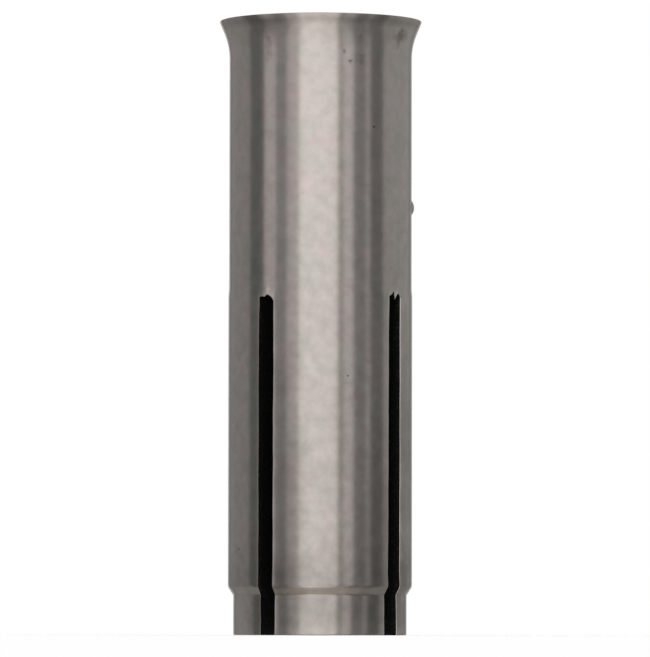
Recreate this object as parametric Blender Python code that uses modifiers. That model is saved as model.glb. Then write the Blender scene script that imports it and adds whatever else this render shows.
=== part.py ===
"""Drop-in expansion anchor for an M12 bolt, 50 mm long, in bare turned stainless steel.

Two pieces: a slotted sleeve with a flared mouth and a wedge bore, and the tapered plug that is
driven down the bore to spread the four leaves. The anchor stands on its slotted tip. +Z runs from
the tip to the mouth, the origin is the centre of the tip's end face, and the slots lie on the X and
Y axes. Sizes are in metres and angles in radians.
"""

import math

import bmesh
import bpy

# Outside of the sleeve
SLEEVE_LENGTH = 0.0500
BODY_DIAMETER = 0.01486
EDGE_BREAK = 0.0001

# Flared mouth: a concave turned fillet, then a straight cone up to the rim's broken edge
RIM_OVERHANG = 0.00079
RIM_FACE_WIDTH = 0.00068
FLARE_RADIUS = 0.0030
FLARE_ANGLE = math.radians(22.5)
FLARE_ARC_STEPS = 5

# Leaves: the slotted part springs a hair outwards, over a short ramp just above the slots
SLOT_LENGTH = 0.0274
SLOT_WIDTH = 0.00143
SAW_DIAMETER = 0.0630
LEAF_SWELL = 0.00005
SWELL_RISE = 0.0001
SWELL_RAMP = 0.0006

# Turned-down tip below a sloping shoulder
TIP_LENGTH = 0.00324
TIP_RELIEF = 0.00044
SHOULDER_HEIGHT = 0.0008

# Bore: a tapping drill hole from the mouth, a wedge taper through the leaves, a straight tip hole.
# The walls set it, so that it follows the outside. The tapping hole is 10.2 mm and the tip hole 6.8.
BODY_WALL = 0.00233
LEAF_WALL = 0.00408
COUNTERSINK_ANGLE = math.radians(30.0)
HINGE_HEIGHT = 0.0011
TAPER_ANGLE = math.radians(5.5)
TIP_BORE_BREAK = 0.0002

# Wedge plug, which waits at the top of the taper
PLUG_LENGTH = 0.0150
PLUG_SET_BACK = 0.0005
PLUG_CHAMFER = 0.0005
SEAT_GAP = 0.0003

# Low round pip on the side, which grips the wall of the hole
PIP_DEPTH = 0.0152
PIP_BEARING = math.radians(36.0)
PIP_WIDTH = 0.00115
PIP_STAND = 0.0002
PIP_ROOT = 0.0003
PIP_ARC_STEPS = 4

# Facets
TURNED_STEPS = 96
PIP_STEPS = 20
SAW_STEPS = 192
MERGE_DISTANCE = 0.000001
SHARP_ANGLE = math.radians(30.0)

# Sizes worked out from those above
BODY_RADIUS = BODY_DIAMETER / 2
RIM_RADIUS = BODY_RADIUS + RIM_OVERHANG
MOUTH_RADIUS = RIM_RADIUS - RIM_FACE_WIDTH
LEAF_RADIUS = BODY_RADIUS + LEAF_SWELL
TIP_RADIUS = LEAF_RADIUS - TIP_RELIEF
DRILL_RADIUS = BODY_RADIUS - BODY_WALL
TIP_BORE_RADIUS = LEAF_RADIUS - LEAF_WALL
SAW_RADIUS = SAW_DIAMETER / 2
COUNTERSINK_HEIGHT = (MOUTH_RADIUS - DRILL_RADIUS) / math.tan(COUNTERSINK_ANGLE)
TAPER_TOP = SLOT_LENGTH + HINGE_HEIGHT
TAPER_BOTTOM = TAPER_TOP - (DRILL_RADIUS - TIP_BORE_RADIUS) / math.tan(TAPER_ANGLE)
PLUG_TOP = TAPER_TOP - PLUG_SET_BACK


def clear_scene():
    """Remove every object that the scene starts with."""
    for old in list(bpy.data.objects):
        bpy.data.objects.remove(old, do_unlink=True)


def make_collection(name):
    """Return a new collection, linked to the scene."""
    collection = bpy.data.collections.new(name)
    bpy.context.scene.collection.children.link(collection)
    return collection


def make_metal(name, colour, roughness):
    """Return a bare metal with a Principled shader."""
    material = bpy.data.materials.new(name)
    material.use_nodes = True
    shader = material.node_tree.nodes["Principled BSDF"]
    shader.inputs["Base Color"].default_value = (*colour, 1.0)
    shader.inputs["Metallic"].default_value = 1.0
    shader.inputs["Roughness"].default_value = roughness
    material.diffuse_color = (*colour, 1.0)
    return material


def turn(name, profile, steps, collection, closed):
    """Turn a profile of (radius, height) points about Z, and return the new object.

    The profile runs down the outside from top to bottom. A closed one comes back up the bore.
    """
    edges = [(i, i + 1) for i in range(len(profile) - 1)]
    if closed:
        edges.append((len(profile) - 1, 0))
    mesh = bpy.data.meshes.new(name)
    mesh.from_pydata([(radius, 0.0, height) for radius, height in profile], edges, [])
    piece = bpy.data.objects.new(name, mesh)
    collection.objects.link(piece)
    screw = piece.modifiers.new("turn", "SCREW")
    screw.steps = steps
    screw.render_steps = steps
    screw.use_merge_vertices = True
    screw.merge_threshold = MERGE_DISTANCE
    return piece


def add_boolean(piece, tool, operation):
    """Cut a piece with a tool, or join the tool to it, with the exact solver."""
    boolean = piece.modifiers.new(tool.name, "BOOLEAN")
    boolean.operation = operation
    boolean.solver = "EXACT"
    boolean.object = tool


def mark_as_tool(piece):
    """Show a cutter or a joined blank as a wire, and keep it out of renders."""
    piece.display_type = "WIRE"
    piece.hide_render = True


def bake(piece, material):
    """Turn a piece's modifiers into its mesh, with smooth round faces and sharp corners."""
    graph = bpy.context.evaluated_depsgraph_get()
    mesh = bpy.data.meshes.new_from_object(piece.evaluated_get(graph))
    piece.modifiers.clear()
    piece.data = mesh
    mesh.name = piece.name
    mesh.shade_smooth()
    mesh.set_sharp_from_angle(angle=SHARP_ANGLE)
    mesh.materials.clear()
    mesh.materials.append(material)


def flare_profile():
    """Return the points of the flared mouth, from the rim's top edge down to the plain body."""
    fillet_width = FLARE_RADIUS * (1 - math.cos(FLARE_ANGLE))
    fillet_height = FLARE_RADIUS * math.sin(FLARE_ANGLE)
    cone_height = (RIM_OVERHANG - fillet_width) / math.tan(FLARE_ANGLE)
    cone_top = SLEEVE_LENGTH - EDGE_BREAK
    fillet_bottom = cone_top - cone_height - fillet_height
    points = [(RIM_RADIUS - EDGE_BREAK, SLEEVE_LENGTH), (RIM_RADIUS, cone_top)]
    for step in range(FLARE_ARC_STEPS, -1, -1):
        angle = FLARE_ANGLE * step / FLARE_ARC_STEPS
        radius = BODY_RADIUS + FLARE_RADIUS * (1 - math.cos(angle))
        points.append((radius, fillet_bottom + FLARE_RADIUS * math.sin(angle)))
    return points


def leaf_profile():
    """Return the outer points of the leaves and the tip, from the ramp down to the end face."""
    return [
        (BODY_RADIUS, SLOT_LENGTH + SWELL_RISE + SWELL_RAMP),
        (LEAF_RADIUS, SLOT_LENGTH + SWELL_RISE),
        (LEAF_RADIUS, TIP_LENGTH + SHOULDER_HEIGHT),
        (TIP_RADIUS, TIP_LENGTH),
        (TIP_RADIUS, EDGE_BREAK),
        (TIP_RADIUS - EDGE_BREAK, 0.0),
    ]


def bore_profile():
    """Return the points of the bore, from the tip hole's lower edge up to the mouth."""
    return [
        (TIP_BORE_RADIUS + TIP_BORE_BREAK, 0.0),
        (TIP_BORE_RADIUS, TIP_BORE_BREAK),
        (TIP_BORE_RADIUS, TAPER_BOTTOM),
        (DRILL_RADIUS, TAPER_TOP),
        (DRILL_RADIUS, SLEEVE_LENGTH - COUNTERSINK_HEIGHT),
        (MOUTH_RADIUS, SLEEVE_LENGTH),
    ]


def make_saw(name, bearing, collection):
    """Return a slitting saw standing at the top of its pass, where it has cut two opposite slots."""
    mesh = bpy.data.meshes.new(name)
    blade = bmesh.new()
    bmesh.ops.create_cone(
        blade,
        cap_ends=True,
        segments=SAW_STEPS,
        radius1=SAW_RADIUS,
        radius2=SAW_RADIUS,
        depth=SLOT_WIDTH,
    )
    blade.to_mesh(mesh)
    blade.free()
    saw = bpy.data.objects.new(name, mesh)
    collection.objects.link(saw)
    arbor_drop = math.sqrt(SAW_RADIUS**2 - LEAF_RADIUS**2)
    saw.location = (0.0, 0.0, SLOT_LENGTH - arbor_drop)
    saw.rotation_euler = (math.pi / 2, 0.0, bearing)
    mark_as_tool(saw)
    return saw


def make_pip(collection):
    """Return the pip's blank: a low dome on a root that is sunk in the sleeve's wall."""
    half_width = PIP_WIDTH / 2
    dome_radius = (half_width**2 + PIP_STAND**2) / (2 * PIP_STAND)
    dome_angle = math.asin(half_width / dome_radius)
    profile = []
    for step in range(PIP_ARC_STEPS + 1):
        angle = dome_angle * step / PIP_ARC_STEPS
        height = PIP_STAND - dome_radius * (1 - math.cos(angle))
        profile.append((dome_radius * math.sin(angle), height))
    profile.append((half_width, -PIP_ROOT))
    profile.append((0.0, -PIP_ROOT))
    pip = turn("grip_pip", profile, PIP_STEPS, collection, closed=False)
    pip.location = (
        BODY_RADIUS * math.cos(PIP_BEARING),
        BODY_RADIUS * math.sin(PIP_BEARING),
        SLEEVE_LENGTH - PIP_DEPTH,
    )
    pip.rotation_euler = (0.0, math.pi / 2, PIP_BEARING)
    mark_as_tool(pip)
    return pip


def make_sleeve(collection, tools):
    """Turn the sleeve, join the pip to it and saw its four slots in two passes."""
    profile = flare_profile() + leaf_profile() + bore_profile()
    sleeve = turn("anchor_sleeve", profile, TURNED_STEPS, collection, closed=True)
    add_boolean(sleeve, make_pip(tools), "UNION")
    for name, bearing in (("saw_pass_x", 0.0), ("saw_pass_y", math.pi / 2)):
        add_boolean(sleeve, make_saw(name, bearing, tools), "DIFFERENCE")
    return sleeve


def make_plug(collection):
    """Turn the wedge plug, which has the bore's taper and keeps the seat gap all round."""
    taper = math.tan(TAPER_ANGLE)
    top_radius = DRILL_RADIUS - PLUG_SET_BACK * taper - SEAT_GAP / math.cos(TAPER_ANGLE)
    bottom_radius = top_radius - PLUG_LENGTH * taper
    chamfer_taper = PLUG_CHAMFER * taper
    profile = [
        (0.0, PLUG_LENGTH),
        (top_radius - PLUG_CHAMFER, PLUG_LENGTH),
        (top_radius - chamfer_taper, PLUG_LENGTH - PLUG_CHAMFER),
        (bottom_radius + chamfer_taper, PLUG_CHAMFER),
        (bottom_radius - PLUG_CHAMFER, 0.0),
        (0.0, 0.0),
    ]
    plug = turn("expander_plug", profile, TURNED_STEPS, collection, closed=False)
    plug.location = (0.0, 0.0, PLUG_TOP - PLUG_LENGTH)
    return plug


def main():
    """Build the anchor."""
    clear_scene()
    parts = make_collection("drop_in_anchor")
    tools = make_collection("cutters")
    frame = bpy.data.objects.new("anchor_frame", None)
    frame.empty_display_size = SLEEVE_LENGTH / 2
    parts.objects.link(frame)

    sleeve = make_sleeve(parts, tools)
    plug = make_plug(parts)
    bake(sleeve, make_metal("turned_stainless_steel", (0.42, 0.39, 0.37), 0.34))
    bake(plug, make_metal("plain_turned_steel", (0.36, 0.35, 0.34), 0.42))
    for piece in (sleeve, plug):
        piece.parent = frame


main()
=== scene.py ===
"""Looks of a drop-in expansion anchor: a slotted sleeve in bare turned steel, and the plug in it.

The sleeve stands on its slotted tip, +Z up, with its slots on the X and Y axes. Both pieces are
modelled here finer than their solids, with rounded lips, saw burrs and the cut thread. Lengths are
in metres, and angles are in radians unless a name says degrees.
"""

import logging
import math
from collections.abc import Iterable, Mapping, Sequence
from dataclasses import dataclass
from enum import IntEnum

import bmesh
import bpy
import numpy as np
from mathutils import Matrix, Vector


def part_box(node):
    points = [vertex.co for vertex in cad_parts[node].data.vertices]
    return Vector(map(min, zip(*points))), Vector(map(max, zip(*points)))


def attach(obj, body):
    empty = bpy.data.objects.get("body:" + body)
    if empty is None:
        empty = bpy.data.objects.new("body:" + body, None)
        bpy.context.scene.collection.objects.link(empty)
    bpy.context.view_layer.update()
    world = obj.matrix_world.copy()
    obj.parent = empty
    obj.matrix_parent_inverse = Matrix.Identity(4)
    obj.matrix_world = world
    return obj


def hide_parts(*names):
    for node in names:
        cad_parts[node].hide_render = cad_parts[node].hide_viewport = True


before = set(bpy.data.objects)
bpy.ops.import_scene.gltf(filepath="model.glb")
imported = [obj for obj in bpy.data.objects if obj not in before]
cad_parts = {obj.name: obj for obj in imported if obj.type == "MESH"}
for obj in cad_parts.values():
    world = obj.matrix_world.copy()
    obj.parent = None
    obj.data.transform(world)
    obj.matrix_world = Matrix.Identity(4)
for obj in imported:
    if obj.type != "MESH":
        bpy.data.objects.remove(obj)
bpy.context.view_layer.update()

LOG = logging.getLogger("anchor")
BODY = "root"
MILLIMETRE = 0.001
WELD_DISTANCE = 0.0000003
SHARP_ANGLE = math.radians(40.0)
QUARTER = math.pi / 2
TURN = 2 * math.pi
# A wave texture repeats each twentieth of a turn at a scale of 1
WAVE_TURN = TURN / 20
# Straight pieces in the rounding of a corner
ROUNDING_STEPS = 4

# Values at rising places, as pairs of a place and its value
Profile = tuple[tuple[float, float], ...]
# What can feed a colour or a cover: an sRGB hex value, a node's first output, or a socket
Feed = str | bpy.types.Node | bpy.types.NodeSocket


class Surface(IntEnum):
    """The kinds of surface on the sleeve, in the order of its material slots."""

    TURNED = 0
    SAWN = 1
    TAPPED = 2


# Small tools for colours and meshes


def to_linear(code: str) -> tuple[float, float, float, float]:
    """Turn an sRGB hex value, such as #ffffff, into linear red, green, blue and an alpha of 1."""
    channels = (int(code[i : i + 2], 16) / 255 for i in (1, 3, 5))
    linear = (c / 12.92 if c <= 0.04045 else ((c + 0.055) / 1.055) ** 2.4 for c in channels)
    return (*linear, 1.0)


def put(name: str, data: bpy.types.ID) -> bpy.types.Object:
    """Put a new object with this data in the scene."""
    placed = bpy.data.objects.new(name, data)
    bpy.context.scene.collection.objects.link(placed)
    return placed


def subdivide(marks: Iterable[float], step: float) -> np.ndarray:
    """Place even stations between marks.

    Args:
        marks: Positions that the stations must include.
        step: The longest gap that may stay between two stations.

    Returns:
        All the stations, in rising order.
    """
    ordered = np.unique(np.round(np.fromiter(marks, float), 9))
    stations = [ordered[:1]]
    for low, high in zip(ordered, ordered[1:]):
        pieces = max(1, math.ceil((high - low) / step))
        stations.append(np.linspace(low, high, pieces + 1)[1:])
    return np.concatenate(stations)


def fade(distance: np.ndarray, reach: float) -> np.ndarray:
    """Return 1 at no distance, falling smoothly to 0 at the reach."""
    share = np.clip(1 - np.abs(distance) / reach, 0, 1)
    return share * share * (3 - 2 * share)


def around(radius: np.ndarray, bearing: np.ndarray, height: np.ndarray) -> np.ndarray:
    """Return the points at these radii, bearings and heights, with their three lengths last."""
    lengths = (radius * np.cos(bearing), radius * np.sin(bearing), height)
    return np.stack(np.broadcast_arrays(*lengths), axis=-1)


def close_round(grid: np.ndarray) -> np.ndarray:
    """Return the grid with its first column again at its end, so that it goes all the way round."""
    return np.concatenate((grid, grid[:, :1]), axis=1)


def bridge(one: np.ndarray, other: np.ndarray, steps: int) -> np.ndarray:
    """Return a grid from one line of points to another, with this many faces across."""
    shares = np.linspace(0, 1, steps + 1)[:, None, None]
    return one * (1 - shares) + other * shares


def round_outline(corners: Sequence[tuple[float, float, float]]) -> list[tuple[float, float]]:
    """Round the corners of an outline.

    Args:
        corners: Radius and height of each corner, and how far its rounding reaches along both sides.

    Returns:
        Radius and height of each point of the rounded outline.
    """
    points: list[tuple[float, float]] = []
    for index, (radius, height, reach) in enumerate(corners):
        if reach == 0:
            points.append((radius, height))
            continue
        here = np.array((radius, height))
        ends = []
        for neighbour in (corners[index - 1], corners[index + 1]):
            side = np.array(neighbour[:2]) - here
            ends.append(here + side * min(1.0, reach / np.linalg.norm(side)))
        for share in np.linspace(0, 1, ROUNDING_STEPS + 1):
            point = (1 - share) ** 2 * ends[0] + 2 * share * (1 - share) * here + share**2 * ends[1]
            points.append((float(point[0]), float(point[1])))
    kept = points[:1]
    for point in points[1:]:
        if math.dist(point, kept[-1]) > WELD_DISTANCE:
            kept.append(point)
    return kept


class Skin:
    """A closed skin that is put together from grids of points, which weld where they meet."""

    def __init__(self, name: str) -> None:
        """Start an empty skin for a piece of this name."""
        self.name = name
        self.points: list[np.ndarray] = []
        self.faces: list[tuple[int, int, int, int]] = []
        self.surfaces: list[int] = []
        self.count = 0

    def add_grid(self, grid: np.ndarray, surface: int = 0) -> None:
        """Add a grid of quads.

        Args:
            grid: Points, as rows by columns by three.
            surface: The material slot of its faces.
        """
        rows, columns = grid.shape[:2]
        for row in range(rows - 1):
            first = self.count + row * columns
            for near in range(first, first + columns - 1):
                self.faces.append((near, near + 1, near + columns + 1, near + columns))
        self.surfaces += [surface] * ((rows - 1) * (columns - 1))
        self.points.append(grid.reshape(-1, 3))
        self.count += rows * columns

    def build(self, materials: Sequence[bpy.types.Material]) -> bpy.types.Object:
        """Weld the grids into one object.

        Args:
            materials: The materials of the piece, in the order of their slots.

        Returns:
            The new object, smooth, with sharp edges where its faces turn away.
        """
        mesh = bpy.data.meshes.new(self.name)
        mesh.from_pydata(np.concatenate(self.points).tolist(), [], self.faces)
        mesh.polygons.foreach_set("material_index", self.surfaces)
        skin = bmesh.new()
        skin.from_mesh(mesh)
        bmesh.ops.remove_doubles(skin, verts=skin.verts, dist=WELD_DISTANCE)
        bmesh.ops.recalc_face_normals(skin, faces=skin.faces)
        skin.to_mesh(mesh)
        open_edges = sum(not edge.is_manifold for edge in skin.edges)
        skin.free()
        for material in materials:
            mesh.materials.append(material)
        mesh.shade_smooth()
        mesh.set_sharp_from_angle(angle=SHARP_ANGLE)
        LOG.info("%s: %d faces, %d open edges", self.name, len(mesh.polygons), open_edges)
        return put(self.name, mesh)


# Finishes


class Sheet:
    """A node tree to fill, and the socket that gives each point's place."""

    def __init__(self, tree: bpy.types.NodeTree, coordinates: str) -> None:
        """Clear the tree, and take places from the texture coordinates of this name."""
        tree.nodes.clear()
        self.tree = tree
        self.place = self.add("TexCoord").outputs[coordinates]

    def add(
        self, kind: str, inputs: Mapping[str, object] | Sequence[object] = (), **settings: object
    ) -> bpy.types.Node:
        """Add a shader node with its settings, its socket values and the links that feed it.

        Args:
            kind: Its type name, without the word ShaderNode.
            inputs: For each socket, by its identifier or in their order, a value, a colour as an sRGB
                hex value, or the socket that feeds it. A node feeds it with its first output.
            settings: Values of the node's own properties.

        Returns:
            The new node.
        """
        node = self.tree.nodes.new("ShaderNode" + kind)
        for name, value in settings.items():
            setattr(node, name, value)
        sockets = {socket.identifier: socket for socket in node.inputs}
        named = inputs if isinstance(inputs, Mapping) else dict(zip(sockets, inputs))
        for name, value in named.items():
            if isinstance(value, bpy.types.Node):
                value = value.outputs[0]
            if isinstance(value, bpy.types.NodeSocket):
                self.tree.links.new(value, sockets[name])
            else:
                sockets[name].default_value = to_linear(value) if isinstance(value, str) else value
        return node

    def lay_coats(self, ground: Feed, coats: Sequence[tuple[Feed, Feed]]) -> bpy.types.NodeSocket:
        """Lay coats of colour over a ground, each where its cover says.

        Args:
            ground: The colour under all the coats.
            coats: Each coat's cover, from 0 to 1, and its colour, from the lowest up.

        Returns:
            The socket with the finished colour.
        """
        colour = ground
        for cover, tone in coats:
            inputs = {"Factor_Float": cover, "A_Color": colour, "B_Color": tone}
            mixed = self.add("Mix", inputs, data_type="RGBA")
            colour = next(socket for socket in mixed.outputs if socket.identifier == "Result_Color")
        return colour


@dataclass(frozen=True)
class Patches:
    """Soft patches that cover part of a surface, such as clouds in its colour or smears of oil.

    Attributes:
        size_mm: How far apart they lie.
        detail: How finely their edges break up.
        start: The noise level at which they begin.
        full: The noise level at which they are whole.
        least: The cover between them.
        most: The cover where they are whole.
        shift: A move that keeps them apart from other patches of their size, in metres.
    """

    size_mm: float
    detail: float
    start: float
    full: float
    least: float
    most: float
    shift: float = 0.0

    def cover(self, sheet: Sheet) -> bpy.types.Node:
        """Spread the patches over the piece, and return the node that gives their cover."""
        shift = (self.shift, -self.shift, self.shift)
        moved = sheet.add("VectorMath", (sheet.place, shift), operation="ADD")
        scale = 1 / (self.size_mm * MILLIMETRE)
        grain = sheet.add("TexNoise", {"Vector": moved, "Scale": scale, "Detail": self.detail})
        return sheet.add("MapRange", (grain, self.start, self.full, self.least, self.most))


@dataclass(frozen=True)
class Stain:
    """One smear of old oil or dirt, one wiped place, or one painted highlight, on the outside.

    Attributes:
        bearing: Where it lies round the axis, in degrees.
        height_mm: How high its middle is.
        wide_mm: Its half width.
        tall_mm: Its half height.
        depth: How much of the steel it hides at its middle, from 0 to 1.
        radius_mm: How far from the axis it lies.
        fade_span: How far from its middle it begins and is whole, as shares of its half sizes.
        ragged: How far its edge strays, in the same shares.
    """

    bearing: float
    height_mm: float
    wide_mm: float
    tall_mm: float
    depth: float
    radius_mm: float = 7.5
    fade_span: tuple[float, float] = (1.15, 0.2)
    ragged: float = 0.35

    def cover(self, sheet: Sheet) -> bpy.types.Node:
        """Spread the stain, with a soft and ragged edge.

        Args:
            sheet: The material's nodes.

        Returns:
            The node that gives the cover at each point.
        """
        turn = math.radians(self.bearing)
        middle = (self.radius_mm * math.cos(turn), self.radius_mm * math.sin(turn), self.height_mm)
        half_sizes = (self.wide_mm, self.wide_mm, self.tall_mm)
        vector = sheet.place
        for operation, lengths in (("SUBTRACT", middle), ("DIVIDE", half_sizes)):
            other = tuple(length * MILLIMETRE for length in lengths)
            vector = sheet.add("VectorMath", (vector, other), operation=operation)
        away = sheet.add("VectorMath", (vector,), operation="LENGTH").outputs["Value"]
        size = min(self.wide_mm, self.tall_mm)
        stray = Patches(size, 3.0, 0.3, 0.7, -self.ragged, self.ragged, 0.41).cover(sheet)
        edge = sheet.add("Math", (away, stray), operation="ADD")
        inputs = (edge, *self.fade_span, 0.0, self.depth)
        return sheet.add("MapRange", inputs, interpolation_type="SMOOTHSTEP")


class Finish:
    """A finish, which each kind below describes by what feeds its shader."""

    def feeds(self, sheet: Sheet) -> dict[str, object]:
        """Add the finish's nodes.

        Args:
            sheet: The material's nodes.

        Returns:
            What feeds the shader, by its sockets.
        """
        raise NotImplementedError

    def make(self, name: str) -> bpy.types.Material:
        """Return a new material of this name, in the finish."""
        material = bpy.data.materials.new(name)
        material.use_nodes = True
        sheet = Sheet(material.node_tree, "Object")
        shader = sheet.add("BsdfPrincipled", self.feeds(sheet))
        sheet.add("OutputMaterial", (shader,))
        return material


@dataclass(frozen=True)
class TurnedStainless(Finish):
    """Bare austenitic stainless bar, turned on a lathe and lightly oiled.

    Its gloss is a soft mirror: sharp enough round the axis to show tall bands of what stands about
    it, and spread up and down by the tool's fine rings. Handling and oil cloud it a little. Its colour
    also holds painted shade toward the tip, and lighter bands at the slots' edges and torn tops that
    are partly or wholly painted highlight.
    """

    steel: str = "#d4cdca"
    green_cast: str = "#c6cac1"
    pink_cast: str = "#dac9c7"
    # The film tone also carries the painted shade toward the tip
    oil_film_and_shade: str = "#a19d98"
    # Bare steel where oil is wiped off, also used for painted highlights at the slots' edges and torn
    # tops
    bare_and_highlight: str = "#f4efeb"
    speck: str = "#5f5b58"
    stain: str = "#6d6862"
    roughness: Patches = Patches(1.2, 3.0, 0.3, 0.7, 0.19, 0.23, 0.83)
    anisotropy: float = 0.5
    # A quarter of a turn, so that the gloss spreads along the axis
    anisotropy_turn: float = 0.25
    green_clouds: Patches = Patches(2.6, 3.0, 0.42, 0.62, 0.0, 0.4)
    pink_clouds: Patches = Patches(1.7, 2.0, 0.5, 0.66, 0.0, 0.4, 0.31)
    oil_mottle: Patches = Patches(0.9, 3.5, 0.3, 0.7, -0.17, 0.17, 0.57)
    ripple: Patches = Patches(2.2, 2.5, 0.0, 1.0, 0.0, 1.0, 0.12)
    ripple_height_mm: float = 0.003
    # The tool's real feed is about 0.08 mm, finer than the picture can show, so it is drawn coarser
    feed_mm: float = 0.22
    feed_height_mm: float = 0.0004
    speck_mm: float = 3.6
    # Where a speck begins and where it is whole, as shares of how far apart they lie
    speck_span: tuple[float, float] = (0.036, 0.018)
    speck_cover: float = 0.8
    # The film's cover grows toward the tip, which makes the lower body darker: painted shade, for the
    # darker surroundings that the lower body mirrors. It is also heavier over the top half millimetre,
    # and lighter at the end and over the shoulder: for each run, the heights in millimetres between
    # which it changes, and the cover it adds at each
    film_and_shade_runs: tuple[tuple[float, float, float, float], ...] = (
        (44.0, 12.0, 0.06, 0.34),
        (8.5, 2.5, 0.0, 0.2),
        (7.5, 4.8, 0.0, 0.16),
        (4.0, 3.8, 0.0, -0.4),
        (3.4, 3.25, 0.0, 0.36),
        (1.2, 0.3, 0.0, -0.22),
        (49.0, 49.5, 0.0, 0.5),
        (49.6, 49.9, 0.0, -0.2),
    )
    # How much the slots' edges are lightened, partly wear and partly painted highlight, how far from a
    # slot's middle, and how high in millimetres
    worn_and_highlight_cover: float = 0.45
    worn_and_highlight_reach: tuple[float, float] = (1.05, 0.74)
    worn_and_highlight_heights: tuple[float, float] = (27.9, 27.3)
    stains: tuple[Stain, ...] = (
        Stain(3.5, 48.5, 1.35, 0.6, 0.6, 7.95),
        Stain(2.0, 47.75, 0.7, 0.5, 0.3, 7.75),
        Stain(-29.0, 47.9, 0.34, 0.6, 0.3, 7.75),
        Stain(-27.6, 46.4, 0.38, 0.7, 0.28, 7.47),
        Stain(-88.0, 47.3, 0.5, 1.3, 0.3, 7.6),
        Stain(-35.6, 46.2, 0.22, 0.22, 0.62, 7.44),
        Stain(-39.0, 46.98, 0.2, 0.24, 0.42, 7.45),
        Stain(-15.0, 8.0, 2.6, 9.0, 0.24),
        Stain(-76.0, 9.0, 2.2, 13.0, 0.26),
        Stain(14.0, 14.0, 2.0, 12.0, 0.32),
        Stain(8.0, 4.8, 1.7, 2.4, 0.4),
        Stain(12.0, 1.6, 1.3, 1.6, 0.3, 7.05),
        Stain(-79.0, 5.2, 1.6, 1.8, 0.34),
        Stain(150.0, 31.0, 2.6, 6.0, 0.22),
        Stain(205.0, 45.5, 1.4, 2.2, 0.25),
    )
    # Where handling has wiped the oil away, and painted highlights on the slots' torn tops, for the light
    # that their chipped faces catch
    wiped_and_highlights: tuple[Stain, ...] = (
        Stain(-121.0, 1.6, 2.3, 3.0, 0.27, 7.0),
        Stain(60.0, 2.0, 2.0, 2.4, 0.2, 7.0),
        # Painted highlights on the four slots' torn tops
        Stain(-88.6, 27.75, 0.28, 0.5, 0.55, 7.45),
        Stain(1.5, 27.5, 0.3, 0.4, 0.75, 7.45),
        Stain(91.5, 27.75, 0.28, 0.4, 0.5, 7.45),
        Stain(181.5, 27.5, 0.3, 0.4, 0.6, 7.45),
    )

    def film_and_shade(self, sheet: Sheet) -> bpy.types.Node:
        """Spread the uneven film of old oil, with painted shade that darkens it toward the tip, and
        return its cover.
        """
        height = sheet.add("SeparateXYZ", (sheet.place,)).outputs["Z"]
        film_and_shade = self.oil_mottle.cover(sheet)
        # The runs add painted shade toward the tip, and lighter and darker bands by height
        for start, stop, *covers in self.film_and_shade_runs:
            run = sheet.add("MapRange", (height, start * MILLIMETRE, stop * MILLIMETRE, *covers))
            film_and_shade = sheet.add("Math", (film_and_shade, run), operation="ADD")
        return film_and_shade

    def worn(self, sheet: Sheet) -> bpy.types.Node:
        """Lighten a band along the slots' edges, partly wear and partly painted highlight, and return its
        cover.
        """
        away = sheet.add("VectorMath", (sheet.place,), operation="ABSOLUTE")
        parts = sheet.add("SeparateXYZ", (away,)).outputs
        aside = sheet.add("Math", (parts["X"], parts["Y"]), operation="MINIMUM")
        level = self.worn_and_highlight_cover
        for value, (start, whole) in ((aside, self.worn_and_highlight_reach), (parts["Z"], self.worn_and_highlight_heights)):
            level = sheet.add("MapRange", (value, start * MILLIMETRE, whole * MILLIMETRE, 0.0, level))
        return level

    def specks(self, sheet: Sheet) -> bpy.types.Node:
        """Scatter a few small dark specks, and return their cover."""
        scale = 1 / (self.speck_mm * MILLIMETRE)
        scatter = sheet.add("TexVoronoi", {"Vector": sheet.place, "Scale": scale})
        return sheet.add("MapRange", (scatter, *self.speck_span, 0.0, self.speck_cover))

    def relief(self, sheet: Sheet) -> bpy.types.Node:
        """Raise the tool's fine rings over the slow unevenness of the bar, and return the normal."""
        scale = WAVE_TURN / (self.feed_mm * MILLIMETRE)
        wave = {"Vector": sheet.place, "Scale": scale, "Distortion": 0.6, "Detail": 1.0}
        rings = sheet.add("TexWave", wave, wave_type="BANDS", bands_direction="Z")
        slow = {"Height": self.ripple.cover(sheet), "Distance": self.ripple_height_mm * MILLIMETRE}
        lower = sheet.add("Bump", slow)
        fine = {"Height": rings, "Distance": self.feed_height_mm * MILLIMETRE, "Normal": lower}
        return sheet.add("Bump", fine)

    def feeds(self, sheet: Sheet) -> dict[str, object]:
        """Return what feeds the shader, by its sockets."""
        coats = [
            (self.green_clouds.cover(sheet), self.green_cast),
            (self.pink_clouds.cover(sheet), self.pink_cast),
            (self.film_and_shade(sheet), self.oil_film_and_shade),
            (self.worn(sheet), self.bare_and_highlight),
            (self.specks(sheet), self.speck),
        ]
        coats += [(patch.cover(sheet), self.bare_and_highlight) for patch in self.wiped_and_highlights]
        coats += [(stain.cover(sheet), self.stain) for stain in self.stains]
        return {
            "Base Color": sheet.lay_coats(self.steel, coats),
            "Metallic": 1.0,
            "Roughness": self.roughness.cover(sheet),
            "Normal": self.relief(sheet),
            "Tangent": sheet.add("Tangent", direction_type="RADIAL", axis="Z"),
            "Anisotropic": self.anisotropy,
            "Anisotropic Rotation": self.anisotropy_turn,
        }


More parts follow.
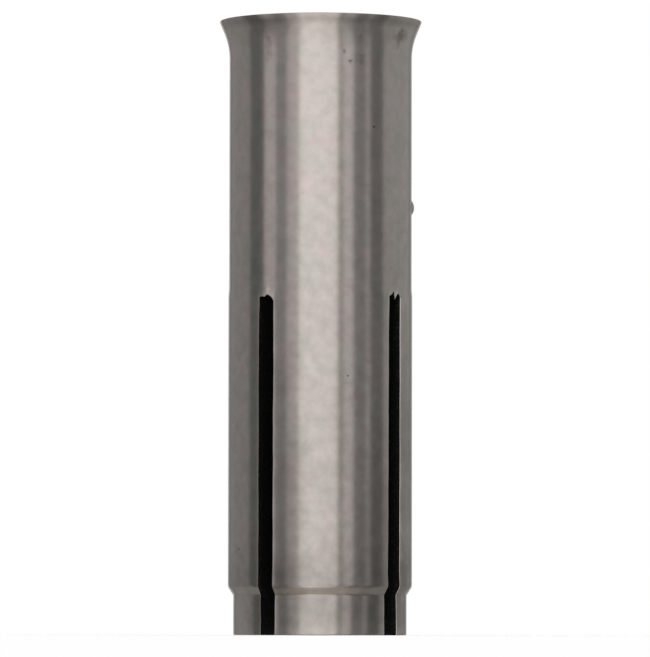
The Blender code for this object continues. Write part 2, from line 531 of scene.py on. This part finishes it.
@dataclass(frozen=True)
class SawnSteel(Finish):
    """Steel cut by a slitting saw, its walls painted near black.

    The near black is painted shade, for the deep shade in the narrow slots, so they read as black
    lines, with a dull scratchy sheen only where light reaches the walls straight on.
    """

    # The oil tone is near black painted shade for the deep slots, and the bare tone, dark too, gives its
    # lighter patches
    oil: str = "#151414"
    bare: str = "#3b3937"
    metallic: float = 0.6
    roughness: float = 0.62
    # Real tooth marks are about 0.05 mm apart, and are drawn coarser so that they show
    scratches: Patches = Patches(0.25, 4.0, 0.0, 1.0, 0.0, 1.0)
    worn: Patches = Patches(0.25, 4.0, 0.55, 0.75, 0.0, 1.0)
    tooth_height_mm: float = 0.004

    def feeds(self, sheet: Sheet) -> dict[str, object]:
        """Return what feeds the shader, by its sockets."""
        marks = {"Height": self.scratches.cover(sheet), "Distance": self.tooth_height_mm * MILLIMETRE}
        return {
            "Base Color": sheet.lay_coats(self.oil, [(self.worn.cover(sheet), self.bare)]),
            "Metallic": self.metallic,
            "Roughness": self.roughness,
            "Normal": sheet.add("Bump", marks),
        }


@dataclass(frozen=True)
class MachinedSteel(Finish):
    """Plain machined steel, as a tap or a lathe leaves it inside the anchor.

    It is greyer than the outside, with fine marks round the axis and a thin uneven coat of oil.
    """

    steel: str = "#aaa6a1"
    oil: str = "#6d6964"
    roughness: float = 0.34
    smear: Patches = Patches(1.4, 3.0, 0.4, 0.75, 0.0, 0.8)
    mark_mm: float = 0.3
    mark_height_mm: float = 0.0015

    def feeds(self, sheet: Sheet) -> dict[str, object]:
        """Return what feeds the shader, by its sockets."""
        scale = WAVE_TURN / (self.mark_mm * MILLIMETRE)
        wave = {"Vector": sheet.place, "Scale": scale, "Distortion": 1.0}
        rings = sheet.add("TexWave", wave, wave_type="RINGS", rings_direction="Z")
        marks = {"Height": rings, "Distance": self.mark_height_mm * MILLIMETRE}
        return {
            "Base Color": sheet.lay_coats(self.steel, [(self.smear.cover(sheet), self.oil)]),
            "Metallic": 1.0,
            "Roughness": self.roughness,
            "Normal": sheet.add("Bump", marks),
        }


@dataclass(frozen=True)
class MattBoard(Finish):
    """Pale matt board for the table's top."""

    tone: str = "#fefefe"
    roughness: float = 0.95
    gloss: float = 0.0

    def feeds(self, sheet: Sheet) -> dict[str, object]:
        """Return what feeds the shader, by its sockets."""
        return {"Base Color": self.tone, "Roughness": self.roughness, "Specular IOR Level": self.gloss}


# The sleeve


@dataclass(frozen=True)
class SlotCut:
    """How one sawn slot departs from a true cut, in millimetres.

    Attributes:
        top: How far its ragged top stands above the true end, across the slot from -1 to 1.
        left: How far round its left edge has moved, at heights from the tip up.
        right: How far round its right edge has moved.
    """

    top: Profile
    left: Profile
    right: Profile

    def rise(self, across: float) -> float:
        """Return how far the top stands above the true end, at a place across the slot."""
        return float(np.interp(across, *zip(*self.top))) * MILLIMETRE

    def wander(self, across: float, height: np.ndarray) -> np.ndarray:
        """Return how far round a line at a place across the slot has moved, at each height."""
        left, right = (np.interp(height / MILLIMETRE, *zip(*edge)) for edge in (self.left, self.right))
        return (left + (right - left) * (across + 1) / 2) * MILLIMETRE


# The first pass of the saw tore the slots' tops and ran wide, and the second was cleaner
TORN: Profile = (
    (-1.0, -0.05), (-0.6, 0.12), (-0.17, 0.40), (-0.10, -0.34),
    (0.12, -0.12), (0.45, 0.14), (0.80, 0.16), (1.0, -0.12),
)
ROLLED: Profile = (
    (-1.0, -0.30), (-0.9, -0.15), (-0.45, -0.14), (-0.22, -0.19), (-0.05, -0.08),
    (0.13, 0.0), (0.43, -0.10), (0.72, -0.23), (0.90, -0.37), (1.0, -0.50),
)
# The slots on +X, +Y, -X and -Y
SLOT_CUTS = (
    SlotCut(
        TORN,
        ((0.0, -0.11), (2.8, -0.11), (5.0, -0.21), (10.0, -0.16), (24.0, -0.12), (27.0, -0.06)),
        ((0.0, 0.28), (3.0, 0.22), (5.0, 0.03), (12.0, 0.08), (27.0, 0.10)),
    ),
    SlotCut(ROLLED, ((0.0, 0.03), (5.0, 0.0)), ((0.0, 0.06), (5.0, 0.0))),
    SlotCut(TORN, ((0.0, -0.16), (6.0, -0.10)), ((0.0, 0.10), (6.0, 0.08))),
    SlotCut(
        ROLLED,
        ((0.0, -0.10), (1.5, -0.11), (2.8, -0.15), (4.4, -0.04), (24.0, -0.03), (26.5, 0.05)),
        ((0.0, -0.19), (2.8, -0.14), (4.5, -0.07), (16.0, -0.05), (24.0, -0.01), (27.0, -0.04)),
    ),
)


@dataclass(frozen=True)
class Columns:
    """The upright lines of the sleeve's mesh, in order round the axis.

    Attributes:
        half_slot: Half the slot's width.
        slot: For each line, which slot it lies by.
        across: Its place across that slot, from -1 to 1, which stays at an edge on a leaf.
        share: Its place across the leaf, from 0 to 1, or -1 on a slot.
    """

    half_slot: float
    slot: np.ndarray
    across: np.ndarray
    share: np.ndarray

    def bearings(self, radius: np.ndarray) -> np.ndarray:
        """Return the bearing of each line at a radius, with slot edges that stay parallel."""
        edge = np.arcsin(self.half_slot / radius)
        over_slot = np.arcsin(self.across * self.half_slot / radius)
        over_leaf = edge + self.share * (QUARTER - 2 * edge)
        quadrant = np.where(self.share >= 0.5, self.slot - 1, self.slot)
        return quadrant * QUARTER + np.where(self.share < 0, over_slot, over_leaf)

    def from_slot(self, radius: np.ndarray) -> np.ndarray:
        """Return how far each line lies from its slot's edge, along the skin."""
        leaf = radius * (QUARTER - 2 * np.arcsin(self.half_slot / radius))
        nearest = np.minimum(self.share, 1 - self.share)
        return np.where(self.share < 0, 0.0, nearest * leaf)

    def wave(
        self, height: np.ndarray, size: float, rate: float, by_slot: float, by_side: float
    ) -> np.ndarray:
        """Return a wave up each line, shifted from slot to slot and from side to side."""
        return size * np.sin(height * rate + self.slot * by_slot + self.across * by_side)


@dataclass
class AnchorSleeve:
    """The turned sleeve: flared mouth, threaded bore, four sawn leaves, shoulder and tip.

    Its length and its rim come from the frame. The other sizes follow those of its solid.
    """

    length: float
    rim_radius: float
    body_radius: float = 0.00743
    edge_break: float = 0.0001
    rim_break: float = 0.00005
    rim_face_width: float = 0.00068
    # The fillet under the cone starts more gently than the solid's, by 0.05 mm at most
    flare_radius: float = 0.0055
    flare_angle: float = math.radians(22.5)
    slot_length: float = 0.0274
    slot_width: float = 0.00143
    saw_radius: float = 0.0315
    leaf_swell: float = 0.00005
    swell_rise: float = 0.0001
    swell_ramp: float = 0.0006
    swell_rounding: float = 0.0002
    tip_length: float = 0.00324
    tip_relief: float = 0.00044
    # The shoulder is a little steeper than the solid's, by 0.06 mm at most
    shoulder_height: float = 0.00069
    shoulder_rounding: float = 0.0002
    shoulder_foot: float = 0.00008625
    body_wall: float = 0.00233
    leaf_wall: float = 0.00408
    countersink_angle: float = math.radians(30.0)
    hinge_height: float = 0.0011
    taper_angle: float = math.radians(5.5)
    tip_bore_break: float = 0.0002
    pip_depth: float = 0.0152
    pip_bearing: float = math.radians(36.0)
    pip_width: float = 0.00115
    pip_stand: float = 0.0002
    # How far closer lines and rows reach from the pip's middle, as a share of its width
    pip_margin: float = 0.6
    pip_lines: int = 15
    thread_pitch: float = 0.00175
    thread_radius: float = 0.0060
    thread_start: float = 0.0300
    # Rows up one pitch of the thread, and how deep it is cut: its crest lies an eighth of a pitch
    # either side of 0, and its root a sixteenth either side of a half
    thread_rows: tuple[float, ...] = (
        0.0, 0.125, 0.229, 0.333, 0.4375, 0.5, 0.5625, 0.667, 0.771, 0.875,
    )
    thread_form: Profile = ((0.125, 0.0), (0.4375, 1.0), (0.5625, 1.0), (0.875, 0.0))
    # How round the slots' lips are and how high their burrs, left and right as seen from outside
    lip_radii: tuple[float, float] = (0.000006, 0.00008)
    lip_margin: float = 0.00001
    burr_heights: tuple[float, float] = (0.000001, 0.000005)
    burr_place: float = 0.00014
    burr_width: float = 0.00008
    # The burr's patches, and the slots' slight waves to the side, each by its swing, its turn for
    # each metre up, and its shifts by slot and by side
    burr_level: float = 0.55
    burr_wave: tuple[float, float, float, float] = (0.45, 2100.0, 1.7, 2.3)
    edge_waves: tuple[tuple[float, float, float, float], ...] = (
        (0.000012, 930.0, 2.1, 1.0),
        (0.000007, 2400.0, 1.0, 3.0),
    )
    slot_cuts: tuple[SlotCut, ...] = SLOT_CUTS
    # How far the skin beside and over a slot follows its waves, its wander and its ragged top
    waver_reach: float = 0.0005
    wander_reach: float = 0.0012
    tear_reach: float = 0.0015
    slot_lines: int = 25
    flare_rows: int = 13
    row_step: float = 0.0005
    column_step: float = 0.0003
    wall_steps: int = 5

    @classmethod
    def from_frame(cls) -> "AnchorSleeve":
        """Return a sleeve as long and as wide as the one in the frame."""
        _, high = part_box("anchor_sleeve")
        return cls(length=high.z, rim_radius=high.x)

    def __post_init__(self) -> None:
        """Work out the sizes that follow from the others."""
        self.leaf_radius = self.body_radius + self.leaf_swell
        self.tip_radius = self.leaf_radius - self.tip_relief
        self.drill_radius = self.body_radius - self.body_wall
        self.tip_bore_radius = self.leaf_radius - self.leaf_wall
        self.mouth_radius = self.rim_radius - self.rim_face_width
        slope = math.tan(self.countersink_angle)
        self.countersink_base = self.length - (self.mouth_radius - self.drill_radius) / slope
        self.thread_depth = self.thread_radius - self.drill_radius
        self.thread_end = self.countersink_base + (self.thread_depth + self.edge_break) / slope
        self.taper_top = self.slot_length + self.hinge_height
        taper_height = (self.drill_radius - self.tip_bore_radius) / math.tan(self.taper_angle)
        self.taper_bottom = self.taper_top - taper_height
        self.pip_height = self.length - self.pip_depth
        self.pip_reach = self.pip_width * self.pip_margin
        # The saw is round, so a slot ends higher at the bore than on the outside
        outer, inner = (
            math.sqrt(self.saw_radius**2 - radius**2) for radius in (self.leaf_radius, self.drill_radius)
        )
        self.slot_top_inside = self.slot_length - outer + inner

    def lip_stations(self, lip_radius: float) -> list[float]:
        """Return distances from an edge that follow its rounding and its burr."""
        angles = np.linspace(0, QUARTER, ROUNDING_STEPS + 1)
        rounding = [lip_radius * (1 - math.cos(angle)) for angle in angles]
        rounding.append(lip_radius + self.lip_margin)
        ridge = [self.burr_place + self.burr_width * side for side in (-0.5, 0.0, 0.5, 1.0, 1.8)]
        return rounding + ridge

    def columns(self) -> Columns:
        """Set out the upright lines of the mesh, closer together at the lips and over the pip.

        Returns:
            The lines, in order round the axis.
        """
        half_slot = self.slot_width / 2
        edge = math.asin(half_slot / self.leaf_radius)
        leaf = self.leaf_radius * (QUARTER - 2 * edge)
        left, right = (self.lip_stations(radius) for radius in self.lip_radii)
        plain = right + [leaf - place for place in left]
        pip_place = (self.pip_bearing - edge) * self.leaf_radius
        pip = list(np.linspace(pip_place - self.pip_reach, pip_place + self.pip_reach, self.pip_lines))
        lines = []
        for quadrant in range(4):
            lines += [(quadrant, side, -1.0) for side in np.linspace(-1, 1, self.slot_lines)]
            marks = plain + pip if quadrant == 0 else plain
            for place in subdivide(marks, self.column_step)[1:-1] / leaf:
                past = place >= 0.5
                lines.append((quadrant + past, -1.0 if past else 1.0, place))
        return Columns(half_slot, *(np.array(values) for values in zip(*lines)))

    def outside(self) -> np.ndarray:
        """Lay out the turned form, with closer rows over the pip and by the slots' ends.

        Returns:
            Radius and height of each row down the outside, from the rim to the end face.
        """
        overhang = self.rim_radius - self.body_radius
        fillet_width = self.flare_radius * (1 - math.cos(self.flare_angle))
        cone_height = (overhang - fillet_width) / math.tan(self.flare_angle)
        rim_base = self.length - self.edge_break
        fillet_base = rim_base - cone_height - self.flare_radius * math.sin(self.flare_angle)
        corners = [
            (self.rim_radius - self.rim_break, self.length, 0.0),
            (self.rim_radius, self.length, self.rim_break),
            (self.rim_radius, rim_base, 0.0),
        ]
        for angle in np.linspace(self.flare_angle, 0, self.flare_rows):
            radius = self.body_radius + self.flare_radius * (1 - math.cos(angle))
            corners.append((radius, fillet_base + self.flare_radius * math.sin(angle), 0.0))
        for offset in np.linspace(self.pip_reach, -self.pip_reach, self.pip_lines):
            corners.append((self.body_radius, self.pip_height + offset, 0.0))
        swell_base = self.slot_length + self.swell_rise
        corners.append((self.body_radius, swell_base + self.swell_ramp, self.swell_rounding))
        corners.append((self.leaf_radius, swell_base, 0.0))
        for place in sorted(self.lip_stations(max(self.lip_radii)), reverse=True):
            if place < self.swell_rise:
                corners.append((self.leaf_radius, self.slot_length + place, 0.0))
        corners += [
            (self.leaf_radius, self.tip_length + self.shoulder_height, self.shoulder_rounding),
            (self.tip_radius, self.tip_length, self.shoulder_foot),
            (self.tip_radius, 0.0, self.edge_break),
            (self.tip_radius - self.edge_break, 0.0, 0.0),
        ]
        outline = round_outline(corners)
        rows = [outline[0]]
        for upper, lower in zip(outline, outline[1:]):
            pieces = max(1, math.ceil(math.dist(upper, lower) / self.row_step))
            for share in np.linspace(0, 1, pieces + 1)[1:]:
                rows.append(tuple(np.array(upper) * (1 - share) + np.array(lower) * share))
        return np.array(rows)

    def outer_skin(self, columns: Columns, outline: np.ndarray) -> np.ndarray:
        """Return the outside's points: turned form, slot lips with their burrs, and the pip.

        Args:
            columns: The upright lines of the mesh.
            outline: Radius and height of each row.

        Returns:
            Points, as rows by columns by three.
        """
        radius, height = outline[:, :1], outline[:, 1:]
        gap = height - self.slot_length
        aside = columns.from_slot(radius)
        opening = np.where(gap > 0, np.hypot(aside, gap), aside)
        lip_radius = np.interp(columns.across, (-1, 1), self.lip_radii)
        inset = np.clip(lip_radius - opening, 0, lip_radius)
        rounding = lip_radius - np.sqrt(lip_radius**2 - inset**2)
        patchy = self.burr_level + columns.wave(height, *self.burr_wave)
        ridge = np.exp(-(((opening - self.burr_place) / self.burr_width) ** 2))
        ridge = ridge * np.interp(columns.across, (-1, 1), self.burr_heights) * patchy
        bearing = columns.bearings(radius)

        half_width = self.pip_width / 2
        dome = (half_width**2 + self.pip_stand**2) / (2 * self.pip_stand)
        spread = np.hypot(self.body_radius * (bearing - self.pip_bearing), height - self.pip_height)
        over_pip = np.sqrt(dome**2 - np.minimum(spread, half_width) ** 2) - (dome - self.pip_stand)

        over = np.maximum(gap, 0)
        waver = sum(columns.wave(height, *wave) for wave in self.edge_waves)
        waver = waver * fade(aside, self.waver_reach) * fade(over, self.waver_reach)
        sides = [(self.slot_cuts[slot % 4], side) for slot, side in zip(columns.slot, columns.across)]
        wander = np.stack([cut.wander(side, height[:, 0]) for cut, side in sides], axis=1)
        waver = waver + wander * fade(aside, self.wander_reach) * fade(over, self.wander_reach)
        bearing = bearing + np.where(columns.share < 0, np.abs(columns.across) ** 3, 1.0) * waver / radius

        rise = np.array([cut.rise(side) for cut, side in sides])
        lift = rise * fade(aside, self.wander_reach) * fade(gap, self.tear_reach)
        turned = np.interp(height + lift, outline[::-1, 1], outline[::-1, 0])
        skin_radius = np.where(lift == 0, radius, turned) - rounding + ridge + over_pip
        return around(skin_radius, bearing, height + lift)

    def bore_radius(self, height: np.ndarray) -> np.ndarray:
        """Return the plain bore's radius at a height, without its thread."""
        outline = (
            (0.0, self.tip_bore_radius + self.tip_bore_break),
            (self.tip_bore_break, self.tip_bore_radius),
            (self.taper_bottom, self.tip_bore_radius),
            (self.taper_top, self.drill_radius),
            (self.countersink_base, self.drill_radius),
            (self.length, self.mouth_radius),
        )
        return np.interp(height, *zip(*outline))

    def ring(self, columns: Columns, radius: np.ndarray, height: np.ndarray) -> np.ndarray:
        """Return points at these radii and heights, one row for each, along the mesh's lines."""
        bearing = columns.bearings(np.minimum(radius, self.drill_radius)[:, None])
        return around(radius[:, None], bearing, height[:, None])

    def thread(self, columns: Columns) -> np.ndarray:
        """Cut the thread, in rows that climb with its right-hand helix.

        Args:
            columns: The upright lines of the mesh.

        Returns:
            Points, as rows by columns by three.
        """
        start = columns.bearings(np.array([[self.drill_radius]]))[0]
        bearing = np.append(start, start[0] + TURN)
        climb = (bearing - start[0]) / TURN - 1
        places = np.array(self.thread_rows)
        depths = np.interp(places, *zip(*self.thread_form))
        turns = math.ceil((self.thread_end - self.thread_start) / self.thread_pitch) + 1
        phase = np.concatenate([places + turn for turn in range(turns)] + [[float(turns)]])
        depth = np.append(np.tile(depths, turns), 0.0)[:, None]
        height = self.thread_start + (phase[:, None] + climb) * self.thread_pitch
        height = np.clip(height, self.thread_start, self.thread_end)
        run_out = 1 - fade(height - self.thread_start, self.thread_pitch)
        cut = self.drill_radius + depth * run_out * self.thread_depth
        radius = np.maximum(cut, self.bore_radius(height))
        return around(radius, bearing, height)

    def build(self, materials: Sequence[bpy.types.Material]) -> bpy.types.Object:
        """Put the sleeve's skin together.

        Args:
            materials: The finishes of the turned, sawn and tapped surfaces.

        Returns:
            The sleeve.
        """
        skin = Skin("anchor_sleeve_turned")
        columns = self.columns()
        outline = self.outside()
        outer = self.outer_skin(columns, outline)
        end_row = int(np.argmin(np.abs(outline[:, 1] - self.slot_length)))

        # The bore's rows by the leaves pair with those outside, from the slot's end down
        heights = outline[end_row:, 1] * self.slot_top_inside / self.slot_length
        inner = self.ring(columns, self.bore_radius(heights), heights)
        heights = subdivide((self.slot_top_inside, self.taper_top, self.thread_start), self.row_step)
        plain = self.ring(columns, self.bore_radius(heights), heights)
        heights = subdivide((self.thread_end, self.length - self.edge_break), self.row_step)
        radii = np.append(self.bore_radius(heights), self.mouth_radius + self.edge_break / 2)
        sink = self.ring(columns, radii, np.append(heights, self.length))

        steps = self.wall_steps
        skin.add_grid(close_round(outer[: end_row + 1]), Surface.TURNED)
        skin.add_grid(close_round(bridge(outer[0], sink[-1], steps)), Surface.TURNED)
        skin.add_grid(close_round(sink), Surface.TURNED)
        skin.add_grid(self.thread(columns), Surface.TAPPED)
        skin.add_grid(close_round(plain), Surface.TAPPED)

        count = len(columns.slot)
        starts, ends = (
            np.flatnonzero((columns.share < 0) & (columns.across == side)) for side in (-1.0, 1.0)
        )
        for start, end, stop in zip(starts, ends, np.append(starts[1:], count)):
            over_slot = np.arange(start, end + 1)
            over_leaf = np.arange(end, stop + 1) % count
            skin.add_grid(bridge(outer[end_row, over_slot], inner[0, over_slot], steps), Surface.SAWN)
            skin.add_grid(outer[end_row:][:, over_leaf], Surface.TURNED)
            skin.add_grid(inner[:, over_leaf], Surface.TAPPED)
            skin.add_grid(bridge(outer[-1, over_leaf], inner[-1, over_leaf], steps), Surface.TURNED)
            for side in (over_leaf[0], over_leaf[-1]):
                skin.add_grid(bridge(outer[end_row:, side], inner[:, side], steps), Surface.SAWN)
        return skin.build(materials)

    def dress(self) -> bpy.types.Object:
        """Build the sleeve in its finishes and set it in the frame."""
        materials = (
            TurnedStainless().make("turned_stainless_steel"),
            SawnSteel().make("sawn_steel_in_painted_shade"),
            MachinedSteel().make("tapped_steel"),
        )
        piece = self.build(materials)
        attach(piece, BODY)
        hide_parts("anchor_sleeve")
        return piece


# The plug


@dataclass
class ExpanderPlug:
    """The tapered wedge plug, which waits in the bore under the thread.

    Its place, length and widths come from the frame.
    """

    bottom: float
    top: float
    top_radius: float
    taper_angle: float = math.radians(5.5)
    chamfer: float = 0.0005
    rounding: float = 0.00015
    steps: int = 144

    @classmethod
    def from_frame(cls) -> "ExpanderPlug":
        """Return a plug that fills the space of the one in the frame."""
        low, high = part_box("expander_plug")
        return cls(bottom=low.z, top=high.z, top_radius=high.x)

    def build(self, material: bpy.types.Material) -> bpy.types.Object:
        """Turn the plug.

        Args:
            material: Its finish.

        Returns:
            The plug.
        """
        taper = math.tan(self.taper_angle)
        bottom_radius = self.top_radius - (self.top - self.bottom - 2 * self.chamfer) * taper
        rounding = self.rounding
        corners = [
            (0.0, self.top, 0.0),
            (self.top_radius - self.chamfer, self.top, rounding),
            (self.top_radius, self.top - self.chamfer, rounding),
            (bottom_radius, self.bottom + self.chamfer, rounding),
            (bottom_radius - self.chamfer, self.bottom, rounding),
            (0.0, self.bottom, 0.0),
        ]
        outline = np.array(round_outline(corners))
        bearing = np.linspace(0, TURN, self.steps + 1)
        skin = Skin("expander_plug_turned")
        skin.add_grid(around(outline[:, :1], bearing, outline[:, 1:]))
        return skin.build((material,))

    def dress(self) -> bpy.types.Object:
        """Build the plug in its finish and set it in the frame."""
        piece = self.build(MachinedSteel(steel="#b4b1ad", roughness=0.3).make("plain_turned_steel"))
        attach(piece, BODY)
        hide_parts("expander_plug")
        return piece


# The studio


@dataclass(frozen=True)
class Panel:
    """One upright panel of the studio, as the polished steel mirrors it.

    Attributes:
        end: Where the panel ends, in degrees to the right of the camera's own bearing.
        tone: Its sRGB tone from eye level up.
        foot: Its sRGB tone at its foot, which shows in faces that look down.
    """

    end: float
    tone: str
    foot: str


@dataclass
class Studio:
    """A pale table in plain soft light, with tall grey and white panels standing all round it.

    The light is white and even. Bare metal takes its look from what it mirrors, so the panels give
    it the tall bands that turned steel shows in a room.
    """

    camera_bearing: float
    floor_half: float = 3.0
    floor_drop: float = 0.00002
    edge_degrees: float = 2.5
    panels: tuple[Panel, ...] = (
        Panel(-162, "#c9c6c4", "#a3a19f"),
        Panel(-152, "#7c7a7a", "#747373"),
        Panel(-100, "#918f8e", "#84837f"),
        Panel(-76, "#656866", "#646462"),
        Panel(-58, "#bdb8b8", "#656461"),
        Panel(-43, "#8a8989", "#838280"),
        Panel(-27, "#c0bbbb", "#bab5b0"),
        Panel(0, "#fffcfa", "#f6f2ee"),
        Panel(22, "#fbf7f5", "#e6e0db"),
        Panel(29, "#9b9895", "#94918e"),
        Panel(42, "#cfcbcb", "#9f9b98"),
        Panel(59, "#838282", "#706f6d"),
        Panel(66, "#a9a6a6", "#807e7c"),
        Panel(86, "#6c6d6c", "#6e6d6a"),
        Panel(148, "#9f9e9c", "#878683"),
        Panel(164, "#8a8988", "#7c7a78"),
        Panel(180, "#c9c6c4", "#a3a19f"),
    )
    # How far from level the panels turn to their feet, to the table by the anchor and to the ceiling
    foot_span: tuple[float, float] = (0.0, -46.0)
    table_span: tuple[float, float] = (-46.0, -62.0)
    ceiling_span: tuple[float, float] = (25.0, 60.0)
    table_tone: str = "#aba49c"
    ceiling_tone: str = "#a6a29e"
    light_tone: str = "#ffffff"

    def build_floor(self) -> bpy.types.Object:
        """Lay the table's top, which the metal's mirror looks past to the panels' feet."""
        half = self.floor_half
        mesh = bpy.data.meshes.new("pale_floor")
        corners = [(-half, -half, 0.0), (half, -half, 0.0), (half, half, 0.0), (-half, half, 0.0)]
        mesh.from_pydata(corners, [], [(0, 1, 2, 3)])
        floor = put("pale_floor", mesh)
        floor.location.z = -self.floor_drop
        mesh.materials.append(MattBoard().make("pale_matt_board"))
        floor.visible_glossy = False
        return floor

    def stops(self, tones: Sequence[str]) -> list[tuple[float, str]]:
        """Return each stop's place and tone, for panels of these tones with soft edges between."""
        soft = self.edge_degrees / 360
        found: list[tuple[float, str]] = []
        for panel, tone, following in zip(self.panels, tones, tones[1:]):
            place = (panel.end + 180) / 360
            found += [(place - soft / 2, tone), (place + soft / 2, following)]
        return found

    def build_world(self) -> bpy.types.World:
        """Surround the table with even white light, which polished metal sees as the panels.

        Returns:
            The new world.
        """
        world = bpy.data.worlds.new("soft_studio")
        world.use_nodes = True
        sheet = Sheet(world.node_tree, "Generated")
        parts = sheet.add("SeparateXYZ", (sheet.place,)).outputs
        angle = sheet.add("Math", (parts["Y"], parts["X"]), operation="ARCTAN2")
        # The bearing as a share of a turn, which is a half at the camera's own bearing
        to_share = (angle, 1 / TURN, 0.5 - self.camera_bearing / TURN)
        turned = sheet.add("Math", to_share, operation="MULTIPLY_ADD")
        share = sheet.add("Math", (turned,), operation="FRACT")
        bands = []
        for tones in ([panel.tone for panel in self.panels], [panel.foot for panel in self.panels]):
            band = sheet.add("ValToRGB", (share,))
            stops = self.stops(tones)
            elements = band.color_ramp.elements
            while len(elements) < len(stops):
                elements.new(1.0)
            for element, (place, tone) in zip(elements, stops):
                element.position = place
                element.color = to_linear(tone)
            bands.append(band)
        coats = []
        for beyond, span in (
            (bands[1], self.foot_span),
            (self.table_tone, self.table_span),
            (self.ceiling_tone, self.ceiling_span),
        ):
            near_end, far_end = (math.sin(math.radians(degrees)) for degrees in span)
            coats.append((sheet.add("MapRange", (parts["Z"], near_end, far_end)), beyond))
        mirrored = sheet.add("Background", (sheet.lay_coats(bands[0], coats),))
        even = sheet.add("Background", (self.light_tone,))
        glossy = sheet.add("LightPath").outputs["Is Glossy Ray"]
        either = sheet.add("MixShader", (glossy, even, mirrored))
        sheet.add("OutputWorld", (either,))
        # Each ray looks the light up for itself, so that matt and mirror rays get their own
        world.cycles.sampling_method = "NONE"
        bpy.context.scene.world = world
        return world


@dataclass
class PhotoCamera:
    """The camera, low and far away, turned so that one slot shows left and one right.

    Attributes:
        bearing: Where it stands round the anchor.
        distance: How far it stands from the axis.
        height: How high it stands over the table.
        pitch_degrees: How far it looks up.
        yaw_degrees: How far it looks past the axis, to the left.
        roll_degrees: How far it leans.
        focal_pixels: Its focal length, in pixels of the picture.
        frame_width: The picture's width, in pixels.
        sensor_mm: The sensor's width.
        clip: The nearest and the farthest that it sees.
    """

    bearing: float
    distance: float = 0.529
    height: float = 0.00025
    pitch_degrees: float = 2.6735
    yaw_degrees: float = -0.0455
    roll_degrees: float = -0.09
    focal_pixels: float = 6503.0
    frame_width: float = 650.0
    sensor_mm: float = 36.0
    clip: tuple[float, float] = (0.01, 20.0)

    def build(self) -> bpy.types.Object:
        """Place the camera and make it the scene's own."""
        data = bpy.data.cameras.new("photo_camera")
        data.sensor_fit = "HORIZONTAL"
        data.sensor_width = self.sensor_mm
        data.lens = self.focal_pixels / self.frame_width * self.sensor_mm
        data.clip_start, data.clip_end = self.clip
        camera = put("photo_camera", data)
        camera.location = (
            self.distance * math.cos(self.bearing),
            self.distance * math.sin(self.bearing),
            self.height,
        )
        camera.rotation_mode = "XYZ"
        camera.rotation_euler = (
            QUARTER + math.radians(self.pitch_degrees),
            math.radians(self.roll_degrees),
            self.bearing + QUARTER + math.radians(self.yaw_degrees),
        )
        bpy.context.scene.camera = camera
        return camera


def main() -> None:
    """Build the studio and the anchor."""
    logging.basicConfig(level=logging.INFO, format="%(message)s")
    camera = PhotoCamera(bearing=math.radians(-54.0))
    camera.build()
    studio = Studio(camera_bearing=camera.bearing)
    studio.build_world()
    studio.build_floor()
    for assembly in (AnchorSleeve.from_frame(), ExpanderPlug.from_frame()):
        piece = assembly.dress()
        LOG.info("placed %s", piece.name)
    bpy.context.scene.view_settings.view_transform = "Standard"


if __name__ == "__main__":
    main()
